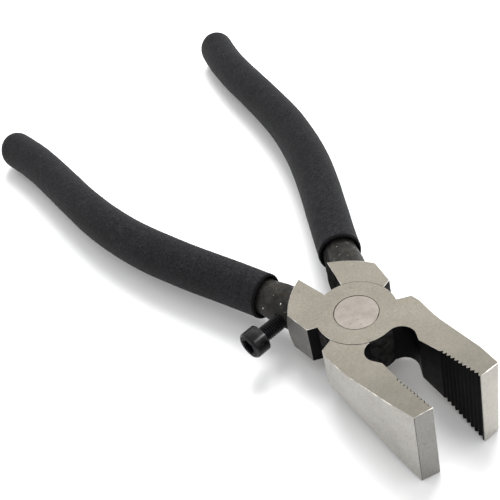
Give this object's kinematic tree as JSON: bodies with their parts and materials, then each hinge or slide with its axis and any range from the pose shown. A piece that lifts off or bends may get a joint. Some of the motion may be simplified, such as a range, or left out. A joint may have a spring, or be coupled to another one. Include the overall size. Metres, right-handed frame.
{
  "type": "running pliers",
  "caption": "Steel lap-joint running pliers with wide serrated jaws, foam handle sleeves and a screw that limits how far the jaws close.",
  "frame": {"origin": "on the resting plane, below the middle of the whole outline; the rivet's axis passes through X = 0, Y = -0.0581 m, and the levers' mid-plane is at Z = 0.014 m", "axes": "+Z along the rivet's axis, towards the face with the left lever's disc; the jaws point to -Y and the handles to +Y; the lever with the screw has its handle on -X"},
  "size_m": [0.1004, 0.206, 0.028],
  "materials": {
    "lever_steel": "satin ground faces, black oxide elsewhere",
    "rivet_steel": "satin, ground flush",
    "foam": "matte closed-cell foam",
    "black_oxide": "black oxide, slightly oiled"
  },
  "bodies": {
    "left_half": {"left_lever": "lever_steel", "pivot_rivet": "rivet_steel", "left_grip": "foam"},
    "right_half": {"right_lever": "lever_steel", "right_grip": "foam"},
    "stop_screw": {"stop_screw": "black_oxide"}
  },
  "joints": [
    {"name": "jaw_pivot", "type": "hinge", "parent": "left_half", "child": "right_half", "pos_m": [0, -0.0581, 0.014], "axis": [0, 0, -1], "range_deg": [-18.8, 30]},
    {"name": "stop_screw_travel", "type": "slide", "parent": "left_half", "child": "stop_screw", "axis": [0.9836, 0.1805, 0], "range_m": [-0.005, 0.001]}
  ]
}
